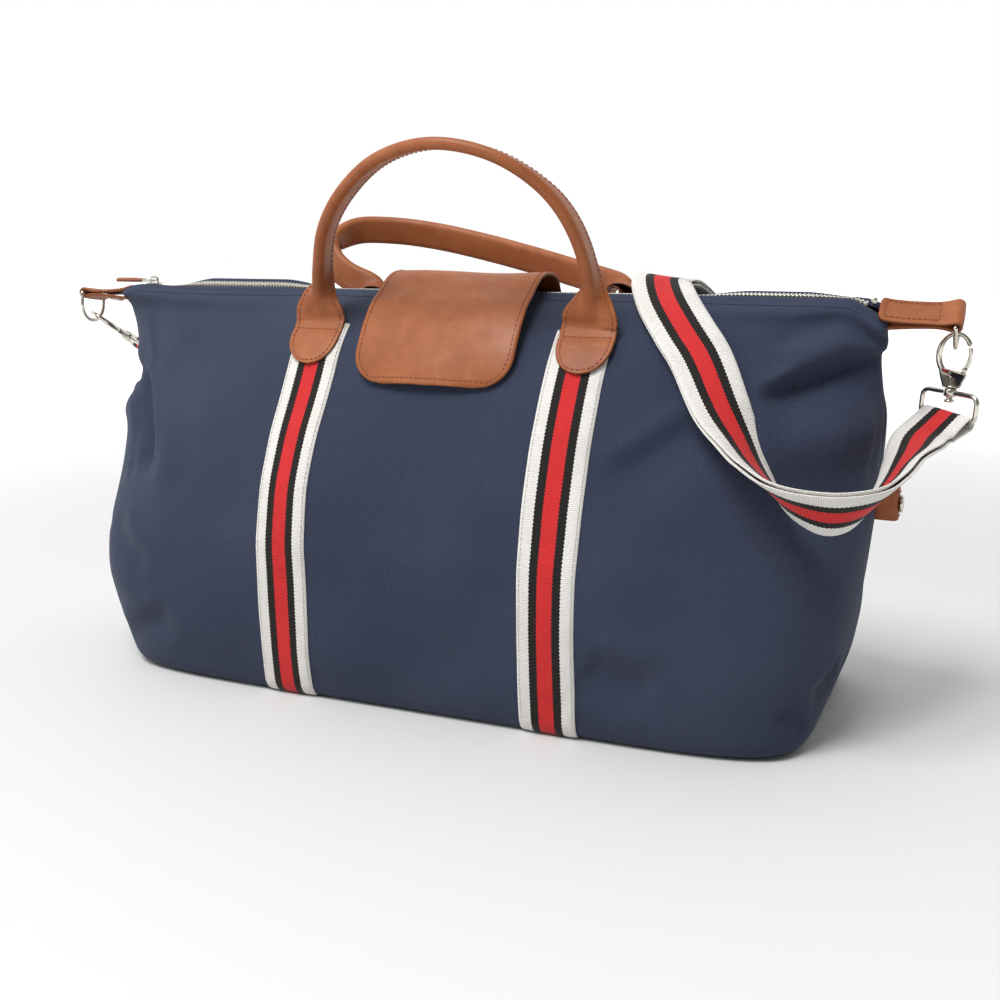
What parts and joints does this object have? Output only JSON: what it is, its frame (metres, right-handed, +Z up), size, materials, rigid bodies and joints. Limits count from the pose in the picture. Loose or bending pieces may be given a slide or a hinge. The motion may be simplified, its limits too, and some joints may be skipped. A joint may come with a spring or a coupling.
{
  "type": "weekender bag",
  "caption": "Soft canvas travel bag with a zipped top, leather carrying handles, a leather flap over the zip and a clip-on webbing shoulder strap.",
  "frame": {"origin": "middle of the base, on the surface that the bag stands on", "axes": "+X along the bag to its right end seen from the front, -Y towards the front, +Z up"},
  "size_m": [0.714, 0.2507, 0.3902],
  "materials": {
    "canvas": "matt navy cotton twill",
    "lining": "matt",
    "board": "matt",
    "webbing": "woven cotton webbing in white, black and red bands",
    "zip_metal": "polished nickel",
    "zip_tape": "matt woven tape",
    "hardware": "polished nickel plate",
    "leather": "semi-gloss tan"
  },
  "bodies": {
    "bag": {"front_panel": "canvas", "back_panel": "canvas", "base_panel": "canvas", "base_board": "board", "lining": "lining", "front_stripe_left": "webbing", "front_stripe_right": "webbing", "back_stripe_left": "webbing", "back_stripe_right": "webbing", "zip_chain_front": "zip_metal", "zip_chain_back": "zip_metal", "zip_tape_front": "zip_tape", "zip_tape_back": "zip_tape", "zip_stop_left": "zip_metal", "zip_stop_right": "zip_metal", "end_tab_left": "leather", "end_tab_snap_left": "hardware", "side_tab_left": "leather", "side_snap_left": "hardware", "end_tab_right": "leather", "end_tab_snap_right": "hardware", "side_tab_right": "leather", "side_snap_right": "hardware", "front_handle_tongue_left": "leather", "front_handle_tongue_right": "leather", "rear_handle_tongue_left": "leather", "rear_handle_tongue_right": "leather", "flap_anchor": "leather", "magnet_front": "hardware", "strap_webbing": "webbing", "strap_return_webbing": "webbing", "strap_slider": "hardware"},
    "front_handle": {"front_handle": "leather"},
    "rear_handle": {"rear_handle": "leather"},
    "flap": {"flap": "leather", "magnet_flap": "hardware"},
    "zip_slider": {"zip_slider": "hardware", "zip_slider_bail": "hardware"},
    "zip_pull": {"zip_pull_eye": "hardware", "zip_pull_tab": "leather"},
    "d_ring_left": {"d_ring_left": "hardware"},
    "strap_ring_left": {"strap_ring_left": "hardware"},
    "hook_left": {"swivel_hook_left": "hardware"},
    "hook_gate_left": {"hook_gate_left": "hardware"},
    "d_ring_right": {"d_ring_right": "hardware"},
    "strap_ring_right": {"strap_ring_right": "hardware"},
    "hook_right": {"swivel_hook_right": "hardware"},
    "hook_gate_right": {"hook_gate_right": "hardware"}
  },
  "joints": [
    {"name": "front_handle_fold", "type": "hinge", "parent": "bag", "child": "front_handle", "pos_m": [0, -0.048, 0.2695], "axis": [1, 0, 0], "range_deg": [-40, 80]},
    {"name": "rear_handle_fold", "type": "hinge", "parent": "bag", "child": "rear_handle", "pos_m": [0, 0.048, 0.2695], "axis": [1, 0, 0], "range_deg": [-12, 42]},
    {"name": "flap_lift", "type": "hinge", "parent": "bag", "child": "flap", "pos_m": [-0.002, 0.02, 0.2866], "axis": [-1, 0, 0], "range_deg": [0, 110]},
    {"name": "zip_run", "type": "slide", "parent": "bag", "child": "zip_slider", "axis": [1, 0, 0], "range_m": [0, 0.56]},
    {"name": "zip_pull_lift", "type": "hinge", "parent": "zip_slider", "child": "zip_pull", "pos_m": [-0.29, 0, 0.2914], "axis": [0, 1, 0], "range_deg": [0, 170]},
    {"name": "d_ring_left_swing", "type": "hinge", "parent": "bag", "child": "d_ring_left", "pos_m": [-0.354, 0, 0.2795], "axis": [0, 0.9903, -0.1392], "range_deg": [-0.5, 4]},
    {"name": "strap_ring_left_swing", "type": "hinge", "parent": "bag", "child": "strap_ring_left", "pos_m": [-0.33981, 0.04303, 0.23191], "axis": [-0.8584, 0.4727, 0.1993], "range_deg": [-1, 2]},
    {"name": "hook_left_swivel", "type": "hinge", "parent": "strap_ring_left", "child": "hook_left", "pos_m": [-0.34478, 0.02995, 0.24156], "axis": [-0.2919, -0.7696, 0.5679], "range_deg": [-2, 25]},
    {"name": "hook_gate_left_open", "type": "hinge", "parent": "hook_left", "child": "hook_gate_left", "pos_m": [-0.35548, 0.02145, 0.25177], "axis": [0.4206, 0.43, 0.7989], "range_deg": [0, 25], "stiffness_Nm_per_rad": 0.02, "springref_deg": -20.05},
    {"name": "d_ring_right_swing", "type": "hinge", "parent": "bag", "child": "d_ring_right", "pos_m": [0.3325, 0, 0.2775], "axis": [0, 0.8387, 0.5446], "range_deg": [-1, 5]},
    {"name": "strap_ring_right_swing", "type": "hinge", "parent": "bag", "child": "strap_ring_right", "pos_m": [0.3298, 0.01156, 0.21053], "axis": [0.7892, -0.6129, -0.0385], "range_deg": [-1, 2]},
    {"name": "hook_right_swivel", "type": "hinge", "parent": "strap_ring_right", "child": "hook_right", "pos_m": [0.33075, 0.01171, 0.2275], "axis": [0.0555, 0.0088, 0.9984], "range_deg": [-5, 25]},
    {"name": "hook_gate_right_open", "type": "hinge", "parent": "hook_right", "child": "hook_gate_right", "pos_m": [0.33878, 0.01241, 0.24254], "axis": [0.0797, -0.9968, 0.0043], "range_deg": [0, 25], "stiffness_Nm_per_rad": 0.02, "springref_deg": -20.05}
  ]
}
